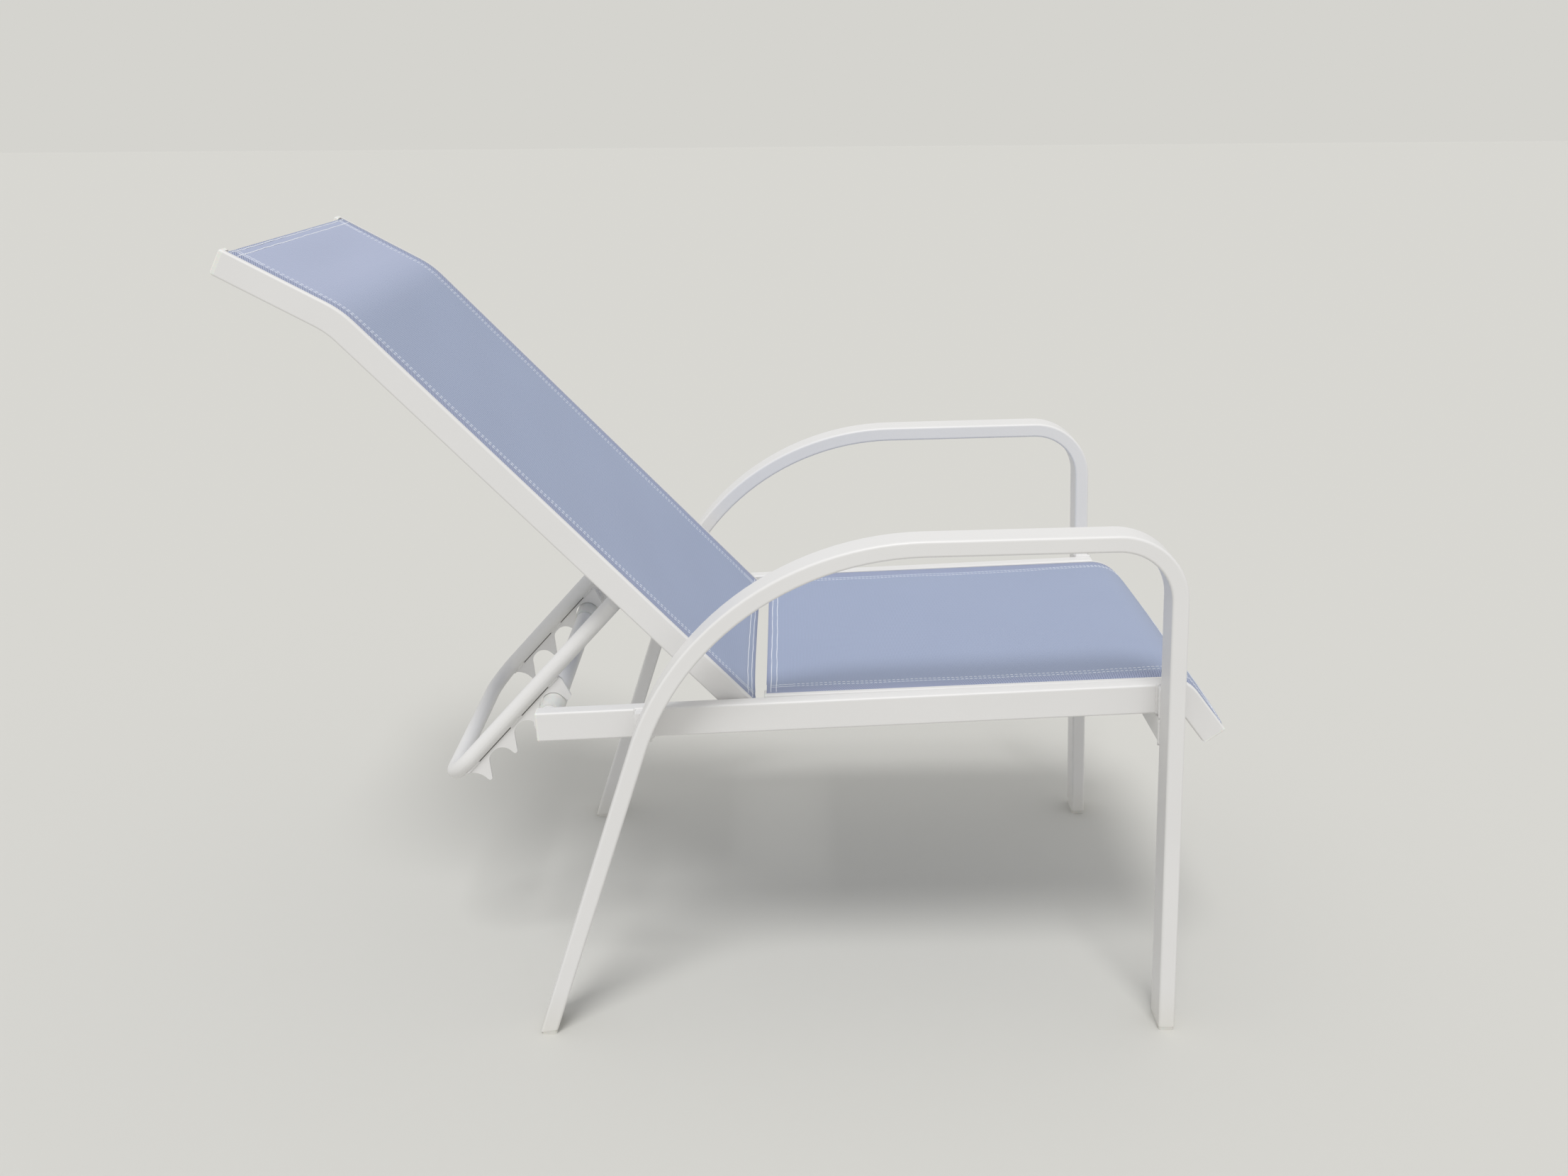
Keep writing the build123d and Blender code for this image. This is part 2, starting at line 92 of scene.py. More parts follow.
# Two colours mixed by a factor. Each is a hex colour or what another node gives.
def mixColours(tree, factor, first, second):
    values, links = {}, {mixFactor: factor}
    for socket, colour in ((mixFirst, first), (mixSecond, second)):
        if isinstance(colour, str):
            values[socket] = linearColour(colour)
        else:
            links[socket] = colour
    return addNode(tree, "ShaderNodeMix", {"data_type": "RGBA"}, values, links).outputs[mixResult]


# Noise with spots of about the given size. The place is in metres, or in millimetres where the unit is 1.
def addNoise(tree, place, size, detail=2.0, unit=millimetresPerMetre):
    values = {"Scale": unit / size, "Detail": detail}
    return addNode(tree, "ShaderNodeTexNoise", values=values, links={"Vector": place}).outputs["Fac"]


# Bands that repeat at the given pitch, in the same units as the noise.
def addWave(tree, place, pitch, way, unit=millimetresPerMetre, wander=None):
    values = {"Scale": waveScale * unit / pitch, **(wander or {})}
    wave = addNode(tree, "ShaderNodeTexWave", {"bands_direction": way}, values, {"Vector": place})
    return wave.outputs["Fac"]


# A value carried from one range to another, and held at its ends.
def addRange(tree, value, before, after):
    values = {"From Min": before[0], "From Max": before[1], "To Min": after[0], "To Max": after[1]}
    return addNode(tree, "ShaderNodeMapRange", values=values, links={"Value": value}).outputs["Result"]


# A sum, a product or the like of two or three numbers, given in the order of the node's sockets.
def addMath(tree, operation, *terms):
    values = {socket: term for socket, term in enumerate(terms) if isinstance(term, float)}
    links = {socket: term for socket, term in enumerate(terms) if not isinstance(term, float)}
    return addNode(tree, "ShaderNodeMath", {"operation": operation}, values, links).outputs[0]


# Joins the colour to the shader, and a bump of the given strength and depth from a height.
def finishShader(tree, shader, colour, height=None, strength=0.0, depth=0.0):
    tree.links.new(colour, shader.inputs["Base Color"])
    if height is not None:
        values = {"Strength": strength, "Distance": depth / millimetresPerMetre}
        relief = addNode(tree, "ShaderNodeBump", values=values, links={"Height": height})
        tree.links.new(relief.outputs["Normal"], shader.inputs["Normal"])


powderCoat = {
    "colour": "#e6e5e4",
    "cloudColour": "#e1e0df",
    "cloudSize": 140.0,
    "cloudDetail": 3.0,
    "peelPitch": 1.6,
    "peelDetail": 1.0,
    "peelStrength": 0.5,
    "peelDepth": 0.012,
    "roughness": 0.42,
    "roughnessSpread": 0.08,
    "lowestColour": "#dddbd5",
    "dustTop": 60.0,
    "dustShare": 0.8,
}


# Powder coat baked on aluminium: satin white with a fine orange peel that softens its highlights, and a
# little dust near the floor. A noise of the cloud's size shifts the tone, height fades the dust in.
def powderCoatFinish():
    finish, tree, shader = newFinish("powderCoatWhite", {"IOR": 1.5})
    place = objectPlace(tree)
    clouds = addNoise(tree, place, powderCoat["cloudSize"], powderCoat["cloudDetail"])
    height = addNode(tree, "ShaderNodeSeparateXYZ", links={"Vector": place}).outputs["Z"]
    dustEnd = powderCoat["dustTop"] / millimetresPerMetre
    dust = addRange(tree, height, (0.0, dustEnd), (powderCoat["dustShare"], 0.0))
    tone = mixColours(tree, clouds, powderCoat["colour"], powderCoat["cloudColour"])
    dusty = mixColours(tree, dust, tone, powderCoat["lowestColour"])
    middle, spread = powderCoat["roughness"], powderCoat["roughnessSpread"]
    satin = addRange(tree, clouds, (0.0, 1.0), (middle - spread, middle + spread))
    tree.links.new(satin, shader.inputs["Roughness"])
    peel = addNoise(tree, place, powderCoat["peelPitch"], powderCoat["peelDetail"])
    finishShader(tree, shader, dusty, peel, powderCoat["peelStrength"], powderCoat["peelDepth"])
    return finish


# Per plastic: colour, shade, grain, roughness and glow.
mouldedPlastics = {
    "capPolyethylene": ("#ecece8", "#e3e3de", 0.9, 0.5, 0.12),
    "glidePolyethylene": ("#dfded9", "#c9c7c0", 1.2, 0.55, 0.05),
    "sleeveNylon": ("#e4e4e1", "#d8d8d3", 1.5, 0.35, 0.08),
    "kederVinyl": ("#d6d8da", "#cbced2", 0.8, 0.4, 0.0),
}
plasticDetail = {
    "grainStrength": 0.4,
    "grainDepth": 0.02,
    "shadeSize": 25.0,
    "shadeDetail": 4.0,
    "glowDepth": 1.5,
}


# Moulded plastic: milky white with a fine spark-eroded grain, and light that enters a little way. The tone
# comes from a noise of the shade's size and the bump from one of the grain's.
def mouldedPlasticFinish(name, colour, shade, grain, roughness, glow):
    constants = {
        "Roughness": roughness,
        "Subsurface Weight": glow,
        "Subsurface Scale": plasticDetail["glowDepth"] / millimetresPerMetre,
    }
    finish, tree, shader = newFinish(name, constants)
    place = objectPlace(tree)
    clouds = addNoise(tree, place, plasticDetail["shadeSize"], plasticDetail["shadeDetail"])
    tone = mixColours(tree, clouds, colour, shade)
    sparks = addNoise(tree, place, grain)
    finishShader(tree, shader, tone, sparks, plasticDetail["grainStrength"], plasticDetail["grainDepth"])
    return finish


zincPlate = {
    "colour": "#b9bbbd",
    "stain": "#8f9296",
    "stainSize": 6.0,
    "roughness": 0.34,
    "scratchPitch": 0.5,
    "scratchWander": 3.0,
    "scratchStrength": 0.3,
    "scratchDepth": 0.01,
}


# Zinc-plated steel: grey metal, cloudy from the plating bath, with turning marks round the head.
def zincPlateFinish():
    constants = {"Metallic": 1.0, "Roughness": zincPlate["roughness"]}
    finish, tree, shader = newFinish("zincPlatedSteel", constants)
    place = objectPlace(tree)
    stains = addNoise(tree, place, zincPlate["stainSize"])
    tone = mixColours(tree, stains, zincPlate["colour"], zincPlate["stain"])
    wander = {"Distortion": zincPlate["scratchWander"]}
    marks = addWave(tree, place, zincPlate["scratchPitch"], "X", wander=wander)
    finishShader(tree, shader, tone, marks, zincPlate["scratchStrength"], zincPlate["scratchDepth"])
    return finish


wovenMesh = {
    "yarn": "#a5b0ca",
    "gap": "#97a2bc",
    "stripYarn": "#b9c1d8",
    "stripGap": "#667196",
    "ribPitch": 1.83,
    "floatPitch": 1.8,
    "floatShare": 1.2,
    "reliefStrength": 0.6,
    "relief": 0.14,
    "hatchPitch": 1.9,
    "hatchLean": -19.0,
    "hatchWander": {"Distortion": 0.6, "Detail Scale": 0.3},
    "hatchFloatShare": 0.8,
    "fadeSize": 160.0,
    "fadeYarn": "#9ea9c3",
    "paintedHeadLight": "#b6bdd7",
    "paintedHeadLightShare": 0.6,
    "paintedHeadLightSpan": (615.0, 690.0),
}


# Vinyl-coated polyester yarn woven to a mesh: fine ribs across the chair, each broken into floats that
# alternate from rib to rib, with a soft plastic gloss. It reads the cloth's own place attribute: across,
# along and strip. Height is the ribs' wave plus the floats' share of the product of two waves of double
# pitch, each less a half. On the doubled strips the ribs give way to leaning, coarser streaks, which take
# their own share of that product. The head part is painted lighter: painted light, a brighter pool on the
# head of the back sling.
def wovenMeshFinish():
    finish, tree, shader = newFinish("wovenVinylMesh", {"Roughness": 0.55, "Specular IOR Level": 0.35})
    place = addNode(tree, "ShaderNodeAttribute", {"attribute_name": "clothPlace"}).outputs["Vector"]
    apart = addNode(tree, "ShaderNodeSeparateXYZ", links={"Vector": place})
    ribs = addWave(tree, place, wovenMesh["ribPitch"], "Y", 1)
    floats, turns = [
        addMath(tree, "SUBTRACT", addWave(tree, place, 2 * wovenMesh[pitch], way, 1), 0.5)
        for pitch, way in (("floatPitch", "X"), ("ribPitch", "Y"))
    ]
    checks = addMath(tree, "MULTIPLY", floats, turns)
    weave = addMath(tree, "MULTIPLY_ADD", checks, wovenMesh["floatShare"], ribs)
    fade = addNoise(tree, place, wovenMesh["fadeSize"], unit=1)
    yarn = mixColours(tree, fade, wovenMesh["yarn"], wovenMesh["fadeYarn"])
    plain = mixColours(tree, weave, wovenMesh["gap"], yarn)
    turn = (0.0, 0.0, math.radians(wovenMesh["hatchLean"]))
    leaning = addNode(tree, "ShaderNodeMapping", values={"Rotation": turn}, links={"Vector": place})
    leaningPlace = leaning.outputs["Vector"]
    hatch = addWave(tree, leaningPlace, wovenMesh["hatchPitch"], "Y", 1, wovenMesh["hatchWander"])
    streaks = addMath(tree, "MULTIPLY_ADD", checks, wovenMesh["hatchFloatShare"], hatch)
    strip = mixColours(tree, streaks, wovenMesh["stripGap"], wovenMesh["stripYarn"])
    # Painted light: the head part of the back sling is painted lighter.
    paintedHeadLightMask = addRange(tree, apart.outputs["Y"], wovenMesh["paintedHeadLightSpan"], (0.0, wovenMesh["paintedHeadLightShare"]))
    withPaintedHeadLight = mixColours(tree, paintedHeadLightMask, plain, wovenMesh["paintedHeadLight"])
    cloth = mixColours(tree, apart.outputs["Z"], withPaintedHeadLight, strip)
    finishShader(tree, shader, cloth, weave, wovenMesh["reliefStrength"], wovenMesh["relief"])
    return finish


sewingThread = {
    "colour": "#f4f6fa",
    "shade": "#dfe4ee",
    "plyPitch": 0.6,
    "plyStrength": 0.5,
    "plyDepth": 0.05,
}


# Twisted polyester thread: white with a silky sheen, its plies drawn as coarse slanted bands.
def sewingThreadFinish():
    finish, tree, shader = newFinish("polyesterThread", {"Roughness": 0.5, "Sheen Weight": 0.2})
    plies = addWave(tree, objectPlace(tree), sewingThread["plyPitch"], "DIAGONAL")
    tone = mixColours(tree, plies, sewingThread["shade"], sewingThread["colour"])
    finishShader(tree, shader, tone, plies, sewingThread["plyStrength"], sewingThread["plyDepth"])
    return finish


paintedSlitShade = {"colour": "#565452", "shade": "#7a7875", "mottleSize": 3.0}


# Painted shade for narrow slits: dull dark grey beads that stand in for the shadow inside each slit, so that
# each slit reads as a thin line.
def paintedSlitShadeFinish():
    finish, tree, shader = newFinish("paintedSlitShade", {"Roughness": 0.95, "Specular IOR Level": 0.1})
    shadeMottle = addNoise(tree, objectPlace(tree), paintedSlitShade["mottleSize"])
    finishShader(tree, shader, mixColours(tree, shadeMottle, paintedSlitShade["colour"], paintedSlitShade["shade"]))
    return finish


coat = powderCoatFinish()
# Painted shade for the notch plates' slits.
slitShadeMaterial = paintedSlitShadeFinish()
plastics = {name: mouldedPlasticFinish(name, *values) for name, values in mouldedPlastics.items()}
steel = zincPlateFinish()
mesh = wovenMeshFinish()
thread = sewingThreadFinish()
print("finishes: made")

caps, sleeves = plastics["capPolyethylene"], plastics["sleeveNylon"]
# The finish of each CAD piece, by its name without the side.
finishOfNode = {
    **dict.fromkeys(("side_frame", "side_rail", "seat_rail", "back_rail", "notch_plate"), coat),
    **dict.fromkeys(("front_stretcher", "rear_crossbar", "bail_tube", "bail_axle"), coat),
    **dict.fromkeys(("front_rail_block", "rear_rail_block"), coat),
    **dict.fromkeys(("seat_spreader_1", "seat_spreader_2", "back_spreader_1", "back_spreader_2"), coat),
    **dict.fromkeys(("front_glide", "rear_glide"), plastics["glidePolyethylene"]),
    **dict.fromkeys(("side_rail_cap", "seat_rail_rear_cap", "seat_rail_front_cap"), caps),
    **dict.fromkeys(("back_rail_head_cap", "back_rail_tail_cap"), caps),
    **dict.fromkeys(("crossbar_sleeve", "pivot_spacer", "axle_spacer", "axle_collar"), sleeves),
    **dict.fromkeys(("seat_keder", "back_keder"), plastics["kederVinyl"]),
    **dict.fromkeys(("pivot_bolt", "seat_screw_1", "seat_screw_2"), steel),
    **dict.fromkeys(("seat_sling", "back_sling"), mesh),
}
for name, node in frame["nodes"].items():
    finish = finishOfNode[name.removeprefix("left_").removeprefix("right_")]
    if not node.material_slots:
        node.data.materials.append(finish)
    for materialSlot in node.material_slots:
        materialSlot.material = finish


# Closed skins from rings of points, copies x rings x points round x 3. Neighbouring rings are joined by
# quads, and an end is closed by quads between point k and the k-th from the last. Where a skin's volume,
# the sum of its triangles' triple products, comes out negative, its faces are turned round.
def makeSkins(name, rings, finish, body, place=None, creaseAngle=50):
    copies, rows, around, _ = rings.shape
    index = np.arange(copies * rows * around).reshape(copies, rows, around)
    onward = np.roll(index, -1, axis=2)
    walls = np.stack([index[:, :-1], onward[:, :-1], onward[:, 1:], index[:, 1:]], -1).reshape(copies, -1, 4)
    near = np.arange(around // 2 - 1)
    far = around - 1 - near
    start = np.stack([index[:, 0, near], index[:, 0, far], index[:, 0, far - 1], index[:, 0, near + 1]], -1)
    end = np.stack([index[:, -1, near], index[:, -1, near + 1], index[:, -1, far - 1], index[:, -1, far]], -1)
    faces = np.concatenate([walls, start, end], 1)
    points = rings.reshape(-1, 3) * metresPerMillimetre
    corner = points[faces] - points[faces].mean((1, 2), keepdims=True)
    twice = np.cross(corner[:, :, 1], corner[:, :, 2]) + np.cross(corner[:, :, 2], corner[:, :, 3])
    inverted = (corner[:, :, 0] * twice).sum((1, 2)) < 0
    faces[inverted] = faces[inverted][:, :, ::-1]
    faces = faces.reshape(-1, 4)
    data = bpy.data.meshes.new(name)
    data.vertices.add(len(points))
    data.vertices.foreach_set("co", points.ravel())
    data.loops.add(faces.size)
    data.loops.foreach_set("vertex_index", faces.ravel())
    data.polygons.add(len(faces))
    data.polygons.foreach_set("loop_start", np.arange(len(faces)) * 4)
    data.polygons.foreach_set("use_smooth", np.ones(len(faces), bool))
    data.update(calc_edges=True)
    data.set_sharp_from_angle(angle=math.radians(creaseAngle))
    if place is not None:
        data.attributes.new("clothPlace", "FLOAT_VECTOR", "POINT").data.foreach_set("vector", place.ravel())
    data.materials.append(finish)
    piece = bpy.data.objects.new(name, data)
    bpy.context.scene.collection.objects.link(piece)
    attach(piece, body)
    return piece


# A direction in the chair's middle plane: 0 points forward, 90 straight up, 180 rearward.
def heading(angle):
    angle = np.radians(angle)
    return np.stack([np.zeros_like(angle), -np.cos(angle), np.sin(angle)], -1)


# The two slings. Start, heading, run, turn, bend and last run draw a rail's top edge; face is the turn from
# that heading to the cloth's own side. Trims are what each end of the cloth stops short of the rail's end.
seatSling = {
    "node": "seat_sling",
    "body": "base",
    "start": np.array([0, -21.83, 409.8]),
    "heading": 2.16,
    "run": 493.5,
    "turn": -54.66,
    "bend": 48.0,
    "lastRun": 83.7,
    "face": 90,
    "slot": 223.3,
    "trims": (2.8, 3.0),
    "sag": 4.0,
    "tautEnd": (100.0, 150.0),
    "endBow": 3.0,
    "sideRows": (20.9, 27.6),
    "startRows": (5.0, 11.5),
    "endRows": (5.0, 11.5),
    "stitchPitch": 5.4,
    "flat": (0.556, 0.624),
    "rests": ("left_seat_rail", "right_seat_rail"),
}
backSling = {
    "node": "back_sling",
    "body": "back",
    # 15 out from the pivot and 19.9 down the rail from there
    "start": pivot + heading(43.8) * 15.0 - heading(133.8) * 19.9,
    "heading": 133.8,
    "run": 649.3,
    "turn": 17.9,
    "bend": 115.0,
    "lastRun": 139.0,
    "face": -90,
    "slot": 218.7,
    "trims": (10.3, 7.6),
    "sag": 4.0,
    "tautEnd": (10.0, 60.0),
    "endBow": 0.0,
    "sideRows": (18.0, 24.4),
    "startRows": (5.4, 12.3),
    "endRows": (2.4, 10.2),
    "stitchPitch": 5.64,
    "flat": (0.545, 0.80),
    "rests": ("left_back_rail", "right_back_rail"),
}
clothLayer = {
    "thick": 0.6,
    "setIn": 0.4,
    "layerGap": 0.02,
    "kederCentre": 6.6,
    "loopRadius": 2.6,
    "turnRadius": 0.8,
    "underTurn": 0.35,
    "sideHem": 32.0,
    "endHem": 15.5,
    "rowsPerStitch": 4,
    "stitchDip": 0.22,
    "dipWidth": 1.2,
    "needleGroove": 0.28,
    "needlePower": 3,
    "grooveReach": 3.0,
    "stripSwell": 0.25,
    "stripSetback": 1.0,
    "stripFade": 5.0,
    "endStripFade": 3.0,
    "bowPower": 8,
    "slowWave": 0.35,
    "slowWavelengths": (210.0, 130.0),
    "waveSlant": 0.35,
    "waveShift": 1.3,
    "stillSide": 60.0,
}
# Where the cloth's grid has its columns, as distances from a seam row or the lip, and how many.
clothGrid = {
    "middleEnd": 16.0,
    "middle": 9,
    "beside": (9.0, 4.0),
    "seamSides": 2.2,
    "seam": 8,
    "stripSpan": (5.0, 2.6),
    "strip": 4,
    "loop": 9,
    "hemStart": 3.0,
    "hem": 4,
    "endTurn": 7,
    "endStart": 1.5,
    "endRun": 9,
    "endClear": 0.5,
    "endAcross": 121,
}


# Where the bend begins and ends along a rail's top edge, and its setback, which is the radius times the
# tangent of half the turn.
def bendSpan(sling):
    turn = math.radians(abs(sling["turn"]))
    setback = sling["bend"] * math.tan(turn / 2)
    bendStart = sling["run"] - setback
    return bendStart, bendStart + sling["bend"] * turn, setback


# Length of a rail's top edge: run, arc and last run, less the two setbacks.
def edgeLength(sling):
    _, bendEnd, setback = bendSpan(sling)
    return bendEnd + sling["lastRun"] - setback


# Where the cloth begins and ends along the edge.
def clothEnds(sling):
    return sling["trims"][0], edgeLength(sling) - sling["trims"][1]


# Point, heading and face direction at each length along a rail's top edge. The point is the start plus the
# straight part of the first run, plus sine and versine of the turned angle times the bend's radius, plus
# what is left along the last heading.
def alongEdge(sling, lengths):
    bendStart, bendEnd, _ = bendSpan(sling)
    sign = math.copysign(1, sling["turn"])
    turned = (np.clip(lengths, bendStart, bendEnd) - bendStart) / sling["bend"]
    point = sling["start"] + np.minimum(lengths, bendStart)[..., None] * heading(sling["heading"])
    point = point + sling["bend"] * np.sin(turned)[..., None] * heading(sling["heading"])
    point = point + sling["bend"] * (1 - np.cos(turned))[..., None] * heading(sling["heading"] + sign * 90)
    point = point + np.maximum(lengths - bendEnd, 0)[..., None] * heading(sling["heading"] + sling["turn"])
    way = sling["heading"] + sign * np.degrees(turned)
    return point, heading(way), heading(way + sling["face"])


# Height of the cloth's middle layer over the rails' edge. It is the sag, a parabola across that a taut end
# pulls straight and bows out by a flatter curve, plus a swelling over each doubled strip, a bell-shaped dip
# under every row of stitches, grooves at its needle holes and two slow waves that the sides hold still.
def clothHeight(sling, across, along):
    first, last = clothEnds(sling)
    fromSide = sling["slot"] - np.abs(across)
    tautLong, fading = sling["tautEnd"]
    slack = np.sin(np.pi / 2 * np.clip((last - along - tautLong) / fading, 0, 1)) ** 2
    sag = sling["sag"] * slack * (1 - (across / sling["slot"]) ** 2)
    bow = sling["endBow"] * (1 - slack) * (1 - (across / sling["slot"]) ** clothLayer["bowPower"])
    height = bow - sag - clothLayer["setIn"] - clothLayer["thick"] / 2
    for distance, rows, phase in (
        (fromSide, sling["sideRows"], along),
        (along - first, sling["startRows"], across + sling["slot"]),
        (last - along, sling["endRows"], across + sling["slot"]),
    ):
        needle = (0.5 + 0.5 * np.cos(2 * np.pi * phase / sling["stitchPitch"])) ** clothLayer["needlePower"]
        outside = np.maximum(rows[0] - distance, distance - rows[1])
        band = np.clip(1 - outside / clothLayer["grooveReach"], 0, 1)
        height = height - clothLayer["needleGroove"] * needle * band
        swell = np.sin(np.pi * np.clip(distance / rows[0], 0, 1))
        height = height + clothLayer["stripSwell"] * np.clip(swell, 0, 1)
        for row in rows:
            dip = np.exp(-(((distance - row) / clothLayer["dipWidth"]) ** 2))
            height = height - clothLayer["stitchDip"] * dip
    loose = slack * np.clip(fromSide / clothLayer["stillSide"], 0, 1)
    for number, wavelength in enumerate(clothLayer["slowWavelengths"]):
        travelled = along + clothLayer["waveSlant"] * across * (1 - 2 * number)
        wave = np.sin(2 * np.pi * travelled / wavelength + clothLayer["waveShift"] * number)
        height = height + clothLayer["slowWave"] * loose * wave
    return height


# Half of the cloth's section, from the middle outwards: across, drop below the rails' edge where it is
# fixed, and layer. Layer 0 is the sheet, 1 the part that runs down the slot, round the keder rod and up
# again, and 2 the hem sewn under the sheet. The keder's loop is an arc about the rod's centre.
def clothSection(sling):
    half = clothLayer["thick"] / 2
    edge = sling["slot"] + half
    low, high = sling["sideRows"]
    farther, nearer = clothGrid["beside"]
    stripStart, lip = clothGrid["stripSpan"]
    seamStart, seamEnd = high + clothGrid["seamSides"], low - clothGrid["seamSides"]
    sheet = np.concatenate(
        [
            np.linspace(0, edge - high - clothGrid["middleEnd"], clothGrid["middle"]),
            edge - np.array([high + farther, high + nearer]),
            edge - np.linspace(seamStart, seamEnd, clothGrid["seam"]),
            edge - np.linspace(low - stripStart, lip, clothGrid["strip"]),
        ]
    )
    top = -clothLayer["setIn"] - half
    turn = clothLayer["turnRadius"]
    quarter = np.radians([0, 30, 60, 90])
    over = np.stack([edge - turn + turn * np.sin(quarter), top - turn + turn * np.cos(quarter)])
    radius = clothLayer["loopRadius"]
    lean = np.arcsin(half / radius)
    angle = np.linspace(np.pi / 2 - lean, -3 * np.pi / 2 + lean, clothGrid["loop"])
    loopDrop = radius * np.sin(angle) - clothLayer["kederCentre"]
    loop = np.stack([sling["slot"] + radius * np.cos(angle), loopDrop])
    under = top - clothLayer["thick"] - clothLayer["layerGap"]
    small = clothLayer["underTurn"]
    inner = sling["slot"] - half
    back = np.stack([inner - small + small * np.cos(quarter), under - small + small * np.sin(quarter)])
    slot = np.concatenate([over, loop, back], 1)
    hemEnd = sling["slot"] - clothLayer["sideHem"]
    hem = np.linspace(inner - clothGrid["hemStart"], hemEnd, clothGrid["hem"])
    across = np.concatenate([sheet, slot[0], hem])
    drop = np.concatenate([sheet * 0, slot[1], hem * 0])
    layer = np.concatenate([sheet * 0, slot[0] * 0 + 1, hem * 0 + 2])
    return across, drop, layer


# How strongly the coarse strip pattern shows: full from the lip to the first row of stitches, then fading.
def stripStrength(sling, across, along):
    first, last = clothEnds(sling)
    side = sling["sideRows"][0] - clothLayer["stripSetback"] - (sling["slot"] - np.abs(across))
    ends = np.maximum(sling["startRows"][0] - along + first, sling["endRows"][0] - last + along)
    return np.clip(np.maximum(side / clothLayer["stripFade"], ends / clothLayer["endStripFade"]), 0, 1)


# A cloth slab: its middle layer moved half the thickness each way along the normal, which is the cross
# product of the grid's two differences, and joined all round.
def makeCloth(name, sling, middle, across, along):
    normal = np.cross(np.gradient(middle, axis=1), np.gradient(middle, axis=0))
    normal = normal / np.linalg.norm(normal, axis=-1, keepdims=True) * clothLayer["thick"] / 2
    place = np.stack([across, along, stripStrength(sling, across, along)], -1)
    rings = np.concatenate([middle + normal, (middle - normal)[:, ::-1]], 1)
    place = np.concatenate([place, place[:, ::-1]], 1)
    piece = makeSkins(name, rings[None], mesh, sling["body"], place.astype(np.float32))
    return piece


# The sling: the section carried along the rails' edge. A point is the edge's point, plus across on X, plus
# the height along the face direction.
def makeSling(name, sling):
    first, last = clothEnds(sling)
    spacing = sling["stitchPitch"] / clothLayer["rowsPerStitch"]
    along = np.linspace(first, last, round((last - first) / spacing) + 1)[:, None]
    across, drop, layer = clothSection(sling)
    across = np.concatenate([-across[:0:-1], across])
    drop = np.concatenate([drop[:0:-1], drop])
    layer = np.concatenate([layer[:0:-1], layer])
    lower = clothLayer["thick"] + clothLayer["layerGap"]
    height = np.where(layer == 1, drop, clothHeight(sling, across, along) - lower * (layer == 2))
    point, _, face = alongEdge(sling, along)
    middle = point + face * height[..., None] + across[None, :, None] * np.array([1, 0, 0])
    piece = makeCloth(name, sling, middle, *np.broadcast_arrays(across, along))
    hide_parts(sling["node"])
    return piece


# The hem at an end of the sling: a second layer under the sheet that turns up at the edge. Its length runs
# round a half circle of half the layers' distance and then inwards, under the sheet.
def makeEndHem(name, sling, atStart):
    first, last = clothEnds(sling)
    step = clothLayer["thick"] + clothLayer["layerGap"]
    angle = np.radians(np.linspace(90, 270, clothGrid["endTurn"]))
    run = np.linspace(clothGrid["endStart"], clothLayer["endHem"], clothGrid["endRun"])
    inwards = np.concatenate([step / 2 * np.cos(angle), run])[:, None]
    lower = np.concatenate([step / 2 * (1 - np.sin(angle)), np.full(clothGrid["endRun"], step)])[:, None]
    along = np.clip(first + inwards, first, None) if atStart else np.clip(last - inwards, None, last)
    reach = first + inwards if atStart else last - inwards
    inside = sling["slot"] - clothLayer["sideHem"] - clothGrid["endClear"]
    across = np.linspace(-inside, inside, clothGrid["endAcross"])[None]
    height = clothHeight(sling, across, along) - lower
    point, _, face = alongEdge(sling, reach + 0 * across)
    middle = point + face * height[..., None] + across[..., None] * np.array([1, 0, 0])
    return makeCloth(name, sling, middle, *np.broadcast_arrays(across, reach))


stitch = {
    "long": 4.1,
    "hemLong": 4.7,
    "wide": 1.3,
    "tall": 0.6,
    "hemPitch": 4.9,
    "lipClear": 3.0,
    "locks": 5,
    "wander": 0.35,
    "sideWaves": (37.0, 11.0),
    "endWaves": (29.0, 13.0),
    "endShift": 2.0,
}
# One stitch as five rings of six points: how far along, how wide and how high each ring is, as shares.
stitchShares = {
    "along": np.array([-0.5, -0.34, 0, 0.34, 0.5]),
    "size": np.array([0.45, 0.9, 1, 0.9, 0.45]),
    "lift": np.array([-0.45, 0.25, 0.42, 0.25, -0.45]),
}


# Rows of stitches: each is a bead that dips into the cloth at both ends. A ring's point is the stitch's
# centre, plus its share of the length, plus a circle flattened to the thread's width and height.
def makeStitches(name, sling, across, along, lengthwise, long):
    point, way, face = alongEdge(sling, along)
    height = clothHeight(sling, across, along) + clothLayer["thick"] / 2
    sideways = np.broadcast_to(np.array([1.0, 0, 0]), point.shape)
    centre = point + face * height[:, None] + sideways * across[:, None]
    run, cross = (way, sideways) if lengthwise else (sideways, way)
    angle = np.radians(np.arange(6) * 60 + 30)
    size = stitchShares["size"][:, None]
    wide = stitch["wide"] / 2 * np.cos(angle) * size
    tall = stitch["tall"] / 2 * np.sin(angle) * size + stitch["tall"] * stitchShares["lift"][:, None]
    rings = centre[:, None, None] + run[:, None, None] * (long * stitchShares["along"])[None, :, None, None]
    rings = rings + cross[:, None, None] * wide[None, ..., None] + face[:, None, None] * tall[None, ..., None]
    piece = makeSkins(name, rings, thread, sling["body"], creaseAngle=180)
    return piece


